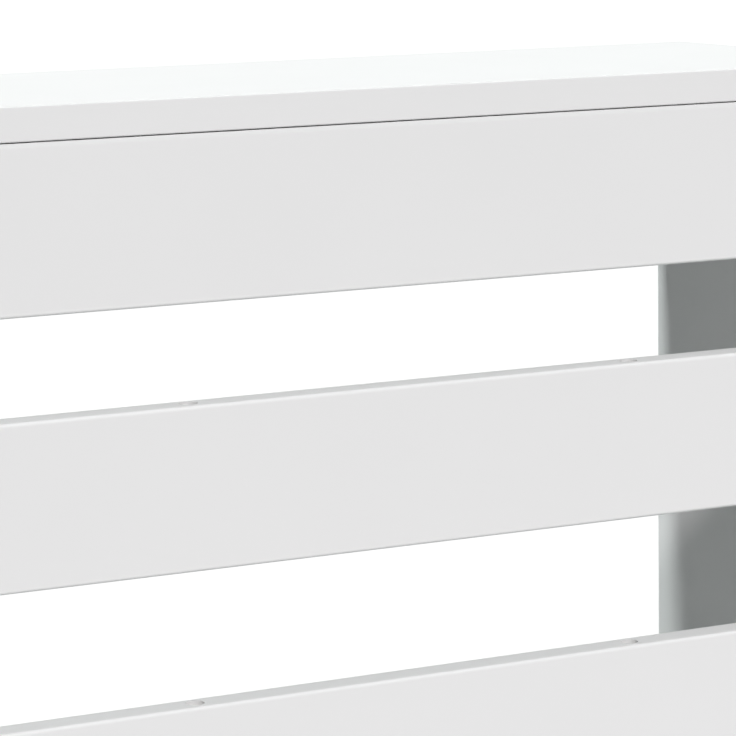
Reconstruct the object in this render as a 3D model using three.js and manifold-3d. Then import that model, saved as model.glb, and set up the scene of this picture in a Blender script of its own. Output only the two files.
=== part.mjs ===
// Radiator cover cabinet: a slatted front between two side panels, under a top board,
// open at the back and at the bottom. White-faced boards held by cam fittings and dowels.
// Millimetres, +Z up. The origin is on the floor, midway across the width and the depth;
// the slats face -Y and the open back, which stands against the wall, faces +Y.
import * as THREE from "three";
import { mergeVertices } from "three/addons/utils/BufferGeometryUtils.js";
import Module from "manifold-3d";

// ---- Driving dimensions ----

// Cabinet
const width = 980;
const depth = 200;
const height = 835;
const topThickness = 15;
const panelThickness = 15;
const slatThickness = 15;
const edgeRounding = 1.5; // on the slats' and side panels' long edges
const topRounding = 0.7; // on the top board's edges
const buttRounding = 0.2; // on the first slat's upper edge, under the top board
const roundingSteps = 2;
const buttGap = 0.02; // hairline left where two boards butt together
const underTopGap = 0.5; // from the first slat to the top board, which seats on the panels

// Slatted front: the slats below the first gap share the height evenly
const slatCount = 6;
const slatWidth = 73;
const firstGap = 44;
const bottomOpening = 98; // from the floor to the lowest slat

// Bores for dowels and bolts
const wallBehindBore = 3.5; // board left behind a blind bore in its face
const fitGap = 0.2; // radial play of a dowel, bolt or cam in its bore
const endGap = 0.5; // play at the end of a blind bore
const fittingSpacing = 32; // between the bolt and the dowel in a slat's end

// Dowels
const dowelDiameter = 8;
const dowelLength = 30;
const dowelChamfer = 1;
const topDowelCount = 4; // along each slat's top edge
const endToTopDowel = 139; // from a slat's end to the first of them

// Cam fittings
const camDiameter = 15;
const camSetback = 34; // from the board's end to the cam's axis
const wallBehindCam = 2.5; // board left behind the cam's housing
const camSunk = 0.2; // the cam's face below the board's face
const camRim = 2.4; // wall that the bolt's head hooks behind
const camEntryAngle = 100; // the cam's turn, in degrees, from its mouth to locked
const crossLength = 8; // screwdriver recess in the cam's face
const crossSlot = 1.6;
const crossDepth = 1.6;
const boltChannel = 8; // bore in the board's end that the bolt's shank lies in
const boltShank = 6;
const boltNeck = 4.2;
const boltNeckLength = 5.5;
const boltHead = 7;
const boltHeadLength = 3;
const boltCollar = 7.2;
const boltCollarLength = 1.5;
const boltBevel = 1; // on its tip, its shank's end and its head
const headPlay = 0.4; // round the bolt's head and neck inside the cam
const panelCamToBack = 100; // from the panel's back edge to its cam
const panelDowelToBack = 36; // and to its dowel

// Floor glides, nailed into the panels' lower edges
const glideHeight = 3;
const glideDiameter = 14;
const glideRounding = 0.8;
const glideInset = 25; // from the panel's front or back edge to the glide's centre
const nailDiameter = 2;
const nailLength = 14;

// Wall brackets, inside the panels' back edges
const bracketSteel = 1.5;
const bracketWidth = 20;
const bracketPanelLeg = 32;
const bracketWallLeg = 20;
const bracketBend = 1; // inside radius
const bracketDrop = 22; // from the top board's underside to the bracket's middle
const bracketScrewHole = 4.4;
const bracketScrewSpacing = 13;
const bracketScrewToEnd = 5; // from the leg's end to its first hole
const bracketSlotLength = 9;

// Facets round a bore or dowel, a cam and its housing, and a bolt, and steps round a
// bracket's bend and its slot's ends
const boreSides = 12;
const camSides = 16;
const boltSides = 8;
const bracketSteps = 4;

// ---- Places worked out from them ----

const innerHalf = width / 2 - panelThickness; // the side panels' inner faces are at +-innerHalf
const panelMiddle = width / 2 - panelThickness / 2;
const underTop = height - topThickness;
const panelTop = underTop - buttGap;
const panelBottom = glideHeight + buttGap;
const panelHeight = panelTop - panelBottom;
const frontY = -depth / 2;
const backY = depth / 2;

const slatLength = 2 * (innerHalf - buttGap);
const slatTopZ = underTop - underTopGap;
const lowerSlats = slatCount - 1;
const slatsBelowFirstGap = slatTopZ - slatWidth - firstGap - bottomOpening;
const slatGap = (slatsBelowFirstGap - lowerSlats * slatWidth) / (lowerSlats - 1);
const slatMiddleY = frontY + slatThickness / 2;

const dowelBore = dowelDiameter + 2 * fitGap;
const boltBore = boltShank + 2 * fitGap;
const nailBore = nailDiameter + 2 * fitGap;

const standInFace = (thickness) => thickness - wallBehindBore - endGap; // a dowel or a bolt
const topDowelSpan = slatLength - 2 * endToTopDowel;
const topDowelX = (index) => -topDowelSpan / 2 + (index * topDowelSpan) / (topDowelCount - 1);
const panelCamY = backY - panelCamToBack;
const panelDowelY = backY - panelDowelToBack;

const sides = [
  { name: "left", sign: -1 },
  { name: "right", sign: 1 },
];
const up = new THREE.Vector3(0, 0, 1);
const down = new THREE.Vector3(0, 0, -1);
const toBack = new THREE.Vector3(0, 1, 0);
const alongX = (sign) => new THREE.Vector3(sign, 0, 0);

// Top of a slat, counted from 0 under the top board.
function slatTop(index) {
  if (index === 0) return slatTopZ;
  return slatTopZ - slatWidth - firstGap - (index - 1) * (slatWidth + slatGap);
}

// ---- Solids ----

const wasm = await Module();
wasm.setup();

// A closed three.js geometry as a solid; slivers that merging leaves at a pole are dropped.
function solid(geometry) {
  geometry.deleteAttribute("normal");
  geometry.deleteAttribute("uv");
  const merged = mergeVertices(geometry);
  const corners = merged.index.array;
  const triangles = [];
  for (let i = 0; i < corners.length; i += 3) {
    const [a, b, c] = corners.subarray(i, i + 3);
    if (a !== b && b !== c && c !== a) triangles.push(a, b, c);
  }
  return new wasm.Manifold(
    new wasm.Mesh({
      numProp: 3,
      vertProperties: merged.attributes.position.array,
      triVerts: new Uint32Array(triangles),
    }),
  );
}

// A solid as a flat-shaded geometry.
function geometryOf(body) {
  const mesh = body.getMesh();
  const indexed = new THREE.BufferGeometry();
  indexed.setAttribute("position", new THREE.BufferAttribute(mesh.vertProperties, mesh.numProp));
  indexed.setIndex(new THREE.BufferAttribute(mesh.triVerts, 1));
  const geometry = indexed.toNonIndexed();
  geometry.computeVertexNormals();
  return geometry;
}

function cutAway(body, cutters) {
  return cutters.reduce((rest, cutter) => rest.subtract(cutter), body);
}

// A round bore that starts outside the face at mouth and runs into the board.
function bore(diameter, mouth, into, boreDepth, facets = boreSides) {
  const overrun = 1;
  const radius = diameter / 2;
  const cutter = new THREE.CylinderGeometry(radius, radius, boreDepth + overrun, facets);
  cutter.translate(0, (boreDepth - overrun) / 2, 0);
  cutter.applyQuaternion(new THREE.Quaternion().setFromUnitVectors(toBack, into));
  cutter.translate(mouth.x, mouth.y, mouth.z);
  return solid(cutter);
}

// A rectangle with rounded corners, centred on the origin. Its upper corners may differ.
function roundedRectangle(across, high, radius, upperRadius = radius) {
  const x = across / 2;
  const y = high / 2;
  const quarter = Math.PI / 2;
  const shape = new THREE.Shape();
  shape.moveTo(-x + radius, -y);
  shape.absarc(x - radius, -y + radius, radius, -quarter, 0);
  shape.absarc(x - upperRadius, y - upperRadius, upperRadius, 0, quarter);
  shape.absarc(-x + upperRadius, y - upperRadius, upperRadius, quarter, 2 * quarter);
  shape.absarc(-x + radius, -y + radius, radius, 2 * quarter, 3 * quarter);
  return shape;
}

// Extrudes a section drawn in YZ along X, centred on the origin.
function extrudeAlongX(shape, length) {
  const geometry = new THREE.ExtrudeGeometry(shape, {
    depth: length,
    bevelEnabled: false,
    curveSegments: roundingSteps,
  });
  geometry.translate(0, 0, -length / 2);
  geometry.applyMatrix4(new THREE.Matrix4().makeBasis(toBack, up, alongX(1)));
  return geometry;
}

// Revolves a profile of [radius, height] points about Y.
function turned(profile, facets) {
  const points = profile.map(([radius, along]) => new THREE.Vector2(radius, along));
  return solid(new THREE.LatheGeometry(points, facets));
}

// ---- Boards ----

// Bores for a bolt and a dowel that stand in a board's face.
function faceBores(thickness, boltAt, dowelAt, into) {
  const boreDepth = thickness - wallBehindBore;
  return [
    bore(boltBore, boltAt, into, boreDepth, boltSides),
    bore(dowelBore, dowelAt, into, boreDepth),
  ];
}

// Bores in a board's end: the bolt's channel, the dowel's bore, and the cam's housing
// in the face that camMouth lies on.
function endBores(thickness, mate, boltAt, dowelAt, into, camMouth, camInto) {
  const dowelDepth = dowelLength - standInFace(mate) + endGap;
  return [
    bore(boltChannel, boltAt, into, camSetback),
    bore(dowelBore, dowelAt, into, dowelDepth),
    bore(camDiameter, camMouth, camInto, thickness - wallBehindCam, camSides),
  ];
}

// Slat, centred on its own middle. Every slat is bored alike, its top edge included.
function makeSlat(upperRounding) {
  const section = roundedRectangle(slatThickness, slatWidth, edgeRounding, upperRounding);
  const toFront = toBack.clone().negate();
  const cutters = [];
  for (const { sign } of sides) {
    const end = (sign * slatLength) / 2;
    const boltZ = fittingSpacing / 2;
    const boltAt = new THREE.Vector3(end, 0, boltZ);
    const dowelAt = new THREE.Vector3(end, 0, -boltZ);
    const camMouth = new THREE.Vector3(end - sign * camSetback, slatThickness / 2, boltZ);
    const into = alongX(-sign);
    cutters.push(...endBores(slatThickness, panelThickness, boltAt, dowelAt, into, camMouth, toFront));
  }
  const topDowelDepth = dowelLength - standInFace(topThickness) + endGap;
  for (let i = 0; i < topDowelCount; i++) {
    const mouth = new THREE.Vector3(topDowelX(i), 0, slatWidth / 2);
    cutters.push(bore(dowelBore, mouth, down, topDowelDepth));
  }
  return cutAway(solid(extrudeAlongX(section, slatLength)), cutters);
}

// Side panel, with its inner face at x = 0, its top at z = 0 and the depth centred.
// The sign is +1 for the right-hand panel, whose material lies towards +X.
function makePanel(sign) {
  const section = roundedRectangle(panelThickness, depth, edgeRounding);
  const blank = new THREE.ExtrudeGeometry(section, {
    depth: panelHeight,
    bevelEnabled: false,
    curveSegments: roundingSteps,
  });
  blank.translate((sign * panelThickness) / 2, 0, -panelHeight);
  const middleX = (sign * panelThickness) / 2;
  const outwards = alongX(sign);
  const cutters = [];
  for (let i = 0; i < slatCount; i++) {
    const slatMiddle = slatTop(i) - slatWidth / 2 - panelTop;
    const boltAt = new THREE.Vector3(0, slatMiddleY, slatMiddle + fittingSpacing / 2);
    const dowelAt = new THREE.Vector3(0, slatMiddleY, slatMiddle - fittingSpacing / 2);
    cutters.push(...faceBores(panelThickness, boltAt, dowelAt, outwards));
  }
  const boltAt = new THREE.Vector3(middleX, panelCamY, 0);
  const dowelAt = new THREE.Vector3(middleX, panelDowelY, 0);
  const camMouth = new THREE.Vector3(0, panelCamY, -camSetback);
  cutters.push(...endBores(panelThickness, topThickness, boltAt, dowelAt, down, camMouth, outwards));
  for (const y of glideYs()) {
    const nailAt = new THREE.Vector3(middleX, y, -panelHeight);
    cutters.push(bore(nailBore, nailAt, up, nailLength + endGap, boltSides));
  }
  return cutAway(solid(blank), cutters);
}

// Top board, with its underside at z = 0. All its edges are rounded.
function makeTop() {
  const outline = new THREE.Shape();
  const x = width / 2 - topRounding;
  const y = depth / 2 - topRounding;
  outline.moveTo(-x, -y).lineTo(x, -y).lineTo(x, y).lineTo(-x, y).closePath();
  const blank = new THREE.ExtrudeGeometry(outline, {
    depth: topThickness - 2 * topRounding,
    bevelSize: topRounding,
    bevelThickness: topRounding,
    bevelSegments: roundingSteps,
  });
  blank.translate(0, 0, topRounding);
  const cutters = [];
  for (const { sign } of sides) {
    const boltAt = new THREE.Vector3(sign * panelMiddle, panelCamY, 0);
    const dowelAt = new THREE.Vector3(sign * panelMiddle, panelDowelY, 0);
    cutters.push(...faceBores(topThickness, boltAt, dowelAt, up));
  }
  for (let i = 0; i < topDowelCount; i++) {
    const mouth = new THREE.Vector3(topDowelX(i), slatMiddleY, 0);
    cutters.push(bore(dowelBore, mouth, up, topThickness - wallBehindBore));
  }
  return cutAway(solid(blank), cutters);
}

// ---- Fittings; each one's axis is its own Y ----

// Dowel with chamfered ends. Its origin is in the joint, and the part below it stands in
// the face of a board of the given thickness.
function makeDowel(faceThickness) {
  const radius = dowelDiameter / 2;
  const low = -standInFace(faceThickness);
  const high = low + dowelLength;
  return turned(
    [
      [0, low],
      [radius - dowelChamfer, low],
      [radius, low + dowelChamfer],
      [radius, high - dowelChamfer],
      [radius - dowelChamfer, high],
      [0, high],
    ],
    boreSides,
  );
}

// The bolt's head hooks behind the cam's rim, where the round chamber is as wide as the
// head. headSeat is the distance from the joint to the shoulder of the head.
const camRadius = camDiameter / 2 - fitGap;
const chamberRadius = camRadius - camRim;
const shoulderToCamAxis = Math.sqrt(chamberRadius ** 2 - (boltHead / 2) ** 2) - headPlay;
const headSeat = camSetback - shoulderToCamAxis;

// Cam bolt: the part below its origin is screwed into the other board's face.
function makeBolt(faceThickness) {
  const shank = boltShank / 2;
  const collar = boltCollar / 2;
  const neck = boltNeck / 2;
  const head = boltHead / 2;
  const tip = -standInFace(faceThickness);
  const neckStart = headSeat - boltNeckLength;
  const headEnd = headSeat + boltHeadLength;
  return turned(
    [
      [0, tip],
      [shank - boltBevel, tip],
      [shank, tip + boltBevel],
      [shank, buttGap],
      [collar, buttGap],
      [collar, boltCollarLength],
      [shank, boltCollarLength],
      [shank, neckStart - boltBevel],
      [neck, neckStart],
      [neck, headSeat],
      [head, headSeat],
      [head, headEnd - boltBevel],
      [head - boltBevel, headEnd],
      [0, headEnd],
    ],
    boltSides,
  );
}

// Cam lock in its locked position. The origin is on its axis, in the board's face; the
// bolt comes from +X, and its axis lies half the board's thickness below the face.
function makeCam(thickness) {
  const top = -camSunk;
  const bottom = -(thickness - wallBehindCam - endGap);
  const boltY = -thickness / 2;
  const disc = new THREE.CylinderGeometry(camRadius, camRadius, top - bottom, camSides);
  disc.translate(0, (top + bottom) / 2, 0);

  // Chamber that the bolt's head turns in
  const chamberHigh = boltHead + 2 * headPlay;
  const chamber = new THREE.CylinderGeometry(chamberRadius, chamberRadius, chamberHigh, boreSides);
  chamber.translate(0, boltY, 0);

  // Slot through the rim for the neck, from the locked place round to the entry hole
  const entry = THREE.MathUtils.degToRad(camEntryAngle);
  const neckHalf = boltNeck / 2 + headPlay;
  const slack = Math.asin(neckHalf / chamberRadius);
  const reach = camDiameter;
  const slotSteps = 4;
  const wedge = new THREE.Shape();
  wedge.moveTo(0, 0);
  for (let i = 0; i <= slotSteps; i++) {
    const angle = -slack + (i * (entry + slack)) / slotSteps;
    wedge.lineTo(reach * Math.cos(angle), reach * Math.sin(angle));
  }
  wedge.closePath();
  const slot = new THREE.ExtrudeGeometry(wedge, { depth: 2 * neckHalf, bevelEnabled: false });
  slot.translate(0, 0, -neckHalf);
  slot.rotateX(Math.PI / 2);
  slot.translate(0, boltY, 0);

  // Entry hole that lets the head in
  const entryRadius = boltHead / 2 + headPlay;
  const entryHole = new THREE.CylinderGeometry(entryRadius, entryRadius, reach, boltSides);
  entryHole.translate(0, reach / 2, 0);
  entryHole.rotateZ(-Math.PI / 2);
  entryHole.rotateY(-entry);
  entryHole.translate(0, boltY, 0);

  const recess = [0, 1].map((turn) => {
    const bar = new THREE.BoxGeometry(crossLength, 2 * crossDepth, crossSlot);
    bar.rotateY((turn * Math.PI) / 2);
    bar.translate(0, top, 0);
    return solid(bar);
  });
  return cutAway(solid(disc), [solid(chamber), solid(slot), solid(entryHole), ...recess]);
}

// Glide with its nail. The origin is in the panel's lower edge, with the nail above it.
function makeGlide() {
  const radius = glideDiameter / 2;
  const nail = nailDiameter / 2;
  return turned(
    [
      [0, -glideHeight],
      [radius - glideRounding, -glideHeight],
      [radius, -glideHeight + glideRounding],
      [radius, 0],
      [nail, 0],
      [nail, nailLength - nailDiameter],
      [0, nailLength],
    ],
    boreSides,
  );
}

// Angle bracket: its corner is the origin, one leg runs along -Y on the panel's inner face
// and the other along X on the wall. The sign is +1 where the panel is towards +X.
function makeBracket(sign) {
  const outer = bracketBend + bracketSteel;
  const angle = new THREE.Shape();
  angle.moveTo(0, -bracketPanelLeg);
  angle.lineTo(0, -outer);
  angle.absarc(-outer, -outer, outer, 0, Math.PI / 2);
  angle.lineTo(-bracketWallLeg, 0);
  angle.lineTo(-bracketWallLeg, -bracketSteel);
  angle.lineTo(-outer, -bracketSteel);
  angle.absarc(-outer, -outer, bracketBend, Math.PI / 2, 0, true);
  angle.lineTo(-bracketSteel, -bracketPanelLeg);
  angle.closePath();
  const steel = new THREE.ExtrudeGeometry(angle, {
    depth: bracketWidth,
    bevelEnabled: false,
    curveSegments: bracketSteps,
  });
  steel.translate(0, 0, -bracketWidth / 2);

  const through = 2 * bracketSteel;
  const holes = [0, 1].map((index) => {
    const y = -bracketPanelLeg + bracketScrewToEnd + index * bracketScrewSpacing;
    return bore(bracketScrewHole, new THREE.Vector3(0, y, 0), alongX(-1), through);
  });
  const slotX = -(bracketWallLeg + outer) / 2;
  const slotOutline = roundedRectangle(bracketScrewHole, bracketSlotLength, bracketScrewHole / 2);
  const wallSlot = new THREE.ExtrudeGeometry(slotOutline, {
    depth: 2 * through,
    bevelEnabled: false,
    curveSegments: bracketSteps,
  });
  wallSlot.translate(0, 0, -through);
  wallSlot.rotateX(Math.PI / 2);
  wallSlot.translate(slotX, 0, 0);
  const cut = cutAway(solid(steel), [...holes, solid(wallSlot)]);
  return sign > 0 ? cut : cut.mirror([1, 0, 0]);
}

function glideYs() {
  return [frontY + glideInset, backY - glideInset];
}

// ---- Finishes ----

const boardFinish = new THREE.MeshStandardMaterial({ color: 0xeeeeec, roughness: 0.5, metalness: 0 });
const zincFinish = new THREE.MeshStandardMaterial({ color: 0xb4b6b8, roughness: 0.45, metalness: 1 });
const steelFinish = new THREE.MeshStandardMaterial({ color: 0xc2c4c6, roughness: 0.35, metalness: 1 });
const beechFinish = new THREE.MeshStandardMaterial({ color: 0xd2b183, roughness: 0.7, metalness: 0 });
const glideFinish = new THREE.MeshStandardMaterial({ color: 0xf2f2f0, roughness: 0.4, metalness: 0 });

// ---- Assembly ----

const cabinet = new THREE.Group();

function add(name, geometry, finish, position, quaternion) {
  const mesh = new THREE.Mesh(geometry, finish.clone());
  mesh.name = name;
  mesh.position.copy(position);
  if (quaternion) mesh.quaternion.copy(quaternion);
  cabinet.add(mesh);
}

// Turns a fitting so that its own Y points along the direction.
const pointing = (direction) => new THREE.Quaternion().setFromUnitVectors(toBack, direction);

// Turns a cam so that its own X points at the bolt's board and its Y out of the housing.
function camTurn(towardsBolt, outOfHousing) {
  const third = new THREE.Vector3().crossVectors(towardsBolt, outOfHousing);
  const basis = new THREE.Matrix4().makeBasis(towardsBolt, outOfHousing, third);
  return new THREE.Quaternion().setFromRotationMatrix(basis);
}

add("top_board", geometryOf(makeTop()), boardFinish, new THREE.Vector3(0, 0, underTop));
for (const { name, sign } of sides) {
  const place = new THREE.Vector3(sign * innerHalf, 0, panelTop);
  add(`side_panel_${name}`, geometryOf(makePanel(sign)), boardFinish, place);
}

const firstSlat = geometryOf(makeSlat(buttRounding));
const lowerSlat = geometryOf(makeSlat(edgeRounding));
const slatCam = geometryOf(makeCam(slatThickness));
const slatBolt = geometryOf(makeBolt(panelThickness));
const slatDowel = geometryOf(makeDowel(panelThickness));
for (let i = 0; i < slatCount; i++) {
  const middle = new THREE.Vector3(0, slatMiddleY, slatTop(i) - slatWidth / 2);
  const slatName = `slat_${i + 1}`;
  add(slatName, i === 0 ? firstSlat : lowerSlat, boardFinish, middle);
  for (const { name, sign } of sides) {
    const fittingZ = fittingSpacing / 2;
    const boltAt = middle.clone().add(new THREE.Vector3(sign * innerHalf, 0, fittingZ));
    const dowelAt = middle.clone().add(new THREE.Vector3(sign * innerHalf, 0, -fittingZ));
    const camX = sign * (slatLength / 2 - camSetback);
    const camAt = middle.clone().add(new THREE.Vector3(camX, slatThickness / 2, fittingZ));
    const inwards = alongX(-sign);
    add(`cam_${slatName}_${name}`, slatCam, zincFinish, camAt, camTurn(alongX(sign), toBack));
    add(`bolt_${slatName}_${name}`, slatBolt, steelFinish, boltAt, pointing(inwards));
    // The top slat's ends carry no dowel: its dowels stand in its top edge instead.
    if (i > 0) add(`dowel_${slatName}_${name}`, slatDowel, beechFinish, dowelAt, pointing(inwards));
  }
}

const topDowel = geometryOf(makeDowel(topThickness));
for (let i = 0; i < topDowelCount; i++) {
  const joint = new THREE.Vector3(topDowelX(i), slatMiddleY, underTop);
  add(`dowel_top_${i + 1}`, topDowel, beechFinish, joint, pointing(down));
}

const panelCam = geometryOf(makeCam(panelThickness));
const topBolt = geometryOf(makeBolt(topThickness));
const glideGeometry = geometryOf(makeGlide());
for (const { name, sign } of sides) {
  const boltAt = new THREE.Vector3(sign * panelMiddle, panelCamY, underTop);
  const dowelAt = new THREE.Vector3(sign * panelMiddle, panelDowelY, underTop);
  const camAt = new THREE.Vector3(sign * innerHalf, panelCamY, panelTop - camSetback);
  add(`cam_panel_${name}`, panelCam, zincFinish, camAt, camTurn(up, alongX(-sign)));
  add(`bolt_panel_${name}`, topBolt, steelFinish, boltAt, pointing(down));
  add(`dowel_panel_${name}`, topDowel, beechFinish, dowelAt, pointing(down));

  const [glideFrontY, glideBackY] = glideYs();
  const glideFront = new THREE.Vector3(sign * panelMiddle, glideFrontY, glideHeight);
  const glideBack = new THREE.Vector3(sign * panelMiddle, glideBackY, glideHeight);
  add(`glide_front_${name}`, glideGeometry, glideFinish, glideFront, pointing(up));
  add(`glide_back_${name}`, glideGeometry, glideFinish, glideBack, pointing(up));

  const bracketX = sign * (innerHalf - buttGap);
  const bracketAt = new THREE.Vector3(bracketX, backY, underTop - bracketDrop);
  add(`wall_bracket_${name}`, geometryOf(makeBracket(sign)), steelFinish, bracketAt);
}

export default cabinet;
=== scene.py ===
import math

import bmesh
import bpy
from mathutils import Matrix, Vector


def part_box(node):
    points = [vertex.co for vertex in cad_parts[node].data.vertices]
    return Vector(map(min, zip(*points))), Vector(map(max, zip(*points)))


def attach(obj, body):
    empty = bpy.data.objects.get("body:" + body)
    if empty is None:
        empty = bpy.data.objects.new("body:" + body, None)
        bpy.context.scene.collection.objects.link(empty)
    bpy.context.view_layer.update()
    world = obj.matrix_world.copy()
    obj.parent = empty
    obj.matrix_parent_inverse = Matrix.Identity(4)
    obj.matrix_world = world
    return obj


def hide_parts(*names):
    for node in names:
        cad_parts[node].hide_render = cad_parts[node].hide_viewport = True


# Radiator cover cabinet: white melamine-faced boards held by cam fittings and dowels.
# Every piece is built on the box of the node that it stands for. Sizes below are in mm.

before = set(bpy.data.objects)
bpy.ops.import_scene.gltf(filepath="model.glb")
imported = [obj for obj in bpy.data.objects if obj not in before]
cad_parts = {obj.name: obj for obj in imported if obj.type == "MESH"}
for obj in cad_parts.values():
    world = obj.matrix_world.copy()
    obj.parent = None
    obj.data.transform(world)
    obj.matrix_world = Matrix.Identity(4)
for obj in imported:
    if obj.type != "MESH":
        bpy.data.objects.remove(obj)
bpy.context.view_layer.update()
scene = bpy.context.scene
mm = 0.001
touching = 0.01 * mm  # places closer than this count as one
axisX, axisY, axisZ = Vector((1, 0, 0)), Vector((0, 1, 0)), Vector((0, 0, 1))
sides = {"left": -1, "right": 1}  # which way each lies along X
print("frame loaded:", len(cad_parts), "nodes")


# Colour as typed in a picker, sRGB hex, to the linear values that sockets hold.
def linear(hexColour):
    parts = [int(hexColour[at:at + 2], 16) / 255 for at in (0, 2, 4)]
    return [p / 12.92 if p <= 0.04045 else ((p + 0.055) / 1.055) ** 2.4 for p in parts] + [1]


# Adds one node. A socket given as an input is linked, anything else is set as its value.
def addNode(tree, kind, settings=None, inputs=None):
    node = tree.nodes.new(kind)
    for name, value in (settings or {}).items():
        setattr(node, name, value)
    for name, value in (inputs or {}).items():
        if isinstance(value, bpy.types.NodeSocket):
            tree.links.new(value, node.inputs[name])
        else:
            node.inputs[name].default_value = value
    return node


# Camera, at the photograph's place and angle.

camera = {
    "place": (-507.6, -1433.5, 941.4),
    "turned": 27.82,  # degrees, from straight back towards the right
    "down": 8.66,
    "rolled": 0.86,  # its right side dips
    "focalPixels": 3460,
    "photoWidth": 736,
    "sensor": 36,
}

cameraData = bpy.data.cameras.new("photoCamera")
cameraData.sensor_width = camera["sensor"]
cameraData.lens = camera["focalPixels"] / camera["photoWidth"] * camera["sensor"]
cameraData.clip_end = 200
photoCamera = bpy.data.objects.new("photoCamera", cameraData)
photoCamera.matrix_world = (
    Matrix.Translation(Vector(camera["place"]) * mm)
    @ Matrix.Rotation(math.radians(-camera["turned"]), 4, "Z")
    @ Matrix.Rotation(math.radians(90 - camera["down"]), 4, "X")
    @ Matrix.Rotation(math.radians(-camera["rolled"]), 4, "Z")
)
scene.collection.objects.link(photoCamera)
scene.camera = photoCamera


# Studio: pale floor, even ambient light and soft lamps.

studio = {
    "backdrop": "FFFFFF",
    "ambient": "EAFBF7",
    "ambientStrength": 0.09,
    "mirrored": 0.6,  # strength of the white walls that gloss reflects
    "floor": "A4A4A3",
    "floorGlow": (0.46, 0.68),  # stands for the light on it: less near the object, more far away
    "floorFade": (0.3, 2.2),  # metres from the origin, between which the glow rises
    "floorSize": 160,  # metres
}
# Each lamp: the direction that its light comes from, its strength, and its width in degrees
lamps = {
    "frontKey": {"from": (-0.126, -0.74, 0.57), "strength": 0.76, "wide": 6, "colour": "FFFCFD"},
    "frontBounce": {"from": (0.10, -1, -0.80), "strength": 0.25, "wide": 60, "colour": "FFFFFF"},
    "highLeft": {"from": (-0.55, 0.019, 0.31), "strength": 0.424, "wide": 2.4, "colour": "F8FFFD"},
    "rightFill": {"from": (0.90, 0.25, 0.16), "strength": 0.50, "wide": 40, "colour": "FFFFFF"},
    "backFill": {"from": (0.03, 1, 0.09), "strength": 0.37, "wide": 10, "colour": "FFFFFF"},
    "topSoftbox": {"from": (0, -0.30, 1), "strength": 0.12, "wide": 28, "colour": "FFFFFF"},
}

scene.view_settings.view_transform = "Standard"
world = bpy.data.worlds.new("studio")
world.use_nodes = True
scene.world = world
tree = world.node_tree
tree.nodes.clear()

# The camera sees the backdrop, gloss sees the white walls, and the rest is lit by the ambient
rays = addNode(tree, "ShaderNodeLightPath").outputs
around = addNode(tree, "ShaderNodeMapRange", None, {
    "Value": rays["Is Glossy Ray"],
    "To Min": studio["ambientStrength"], "To Max": studio["mirrored"]})
ambient = addNode(tree, "ShaderNodeBackground", None, {
    "Color": linear(studio["ambient"]), "Strength": around.outputs[0]})
backdrop = addNode(tree, "ShaderNodeBackground", None, {
    "Color": linear(studio["backdrop"]), "Strength": 1})
both = addNode(tree, "ShaderNodeMixShader", None, {"Fac": rays["Is Camera Ray"]})
tree.links.new(ambient.outputs[0], both.inputs[1])
tree.links.new(backdrop.outputs[0], both.inputs[2])
addNode(tree, "ShaderNodeOutputWorld", None, {"Surface": both.outputs[0]})

for name, lamp in lamps.items():
    light = bpy.data.lights.new(name, "SUN")
    light.energy = lamp["strength"] * math.pi
    light.angle = math.radians(lamp["wide"])
    light.color = linear(lamp["colour"])[:3]
    stand = bpy.data.objects.new(name, light)
    stand.rotation_mode = "QUATERNION"
    stand.rotation_quaternion = Vector(lamp["from"]).to_track_quat("Z", "Y")
    scene.collection.objects.link(stand)


# Materials. Sizes and depths are in mm; colours and roughness run from one value to another.

# Starts a material, with what is the same all over it set on the shader's own sockets.
def startMaterial(name, sockets):
    material = bpy.data.materials.new(name)
    material.use_nodes = True
    tree = material.node_tree
    shader = tree.nodes["Principled BSDF"]
    for socket, value in sockets.items():
        shader.inputs[socket].default_value = value
    return material, tree, shader


# Object coordinates, scaled so that one unit is the given size in mm along X, Y and Z.
def scaledPlace(tree, size):
    place = addNode(tree, "ShaderNodeTexCoord").outputs["Object"]
    return addNode(tree, "ShaderNodeMapping", None, {
        "Vector": place, "Scale": [1 / (part * mm) for part in size]}).outputs[0]


# Noise whose grains have the given size in mm.
def grain(tree, size, detail=2.0):
    return addNode(tree, "ShaderNodeTexNoise", None, {
        "Vector": scaledPlace(tree, size), "Scale": 1.0, "Detail": detail}).outputs["Fac"]


# Sizes along X, Y and Z of a pattern that is drawn out along one of them.
def drawnOut(length, width, along):
    return [length if axis == along else width for axis in "XYZ"]


# Stretches the middle of a noise, where nearly all of it lies, from low to high.
def spread(tree, value, low, high):
    return addNode(tree, "ShaderNodeMapRange", None, {
        "Value": value, "From Min": 0.3, "From Max": 0.7,
        "To Min": low, "To Max": high}).outputs[0]


def blendColours(tree, value, colours):
    first, second = colours
    node = addNode(tree, "ShaderNodeMix", {"data_type": "RGBA"}, {"Factor": value})
    node.inputs[6].default_value = linear(first)
    node.inputs[7].default_value = linear(second)
    return node.outputs[2]


def coloured(tree, shader, pattern, colours):
    tree.links.new(blendColours(tree, pattern, colours), shader.inputs["Base Color"])


def roughened(tree, shader, pattern, roughness):
    tree.links.new(spread(tree, pattern, *roughness), shader.inputs["Roughness"])


def bumped(tree, shader, height, depth, strength=1.0):
    bump = addNode(tree, "ShaderNodeBump", None, {
        "Height": height, "Distance": depth * mm, "Strength": strength})
    tree.links.new(bump.outputs[0], shader.inputs["Normal"])


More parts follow.
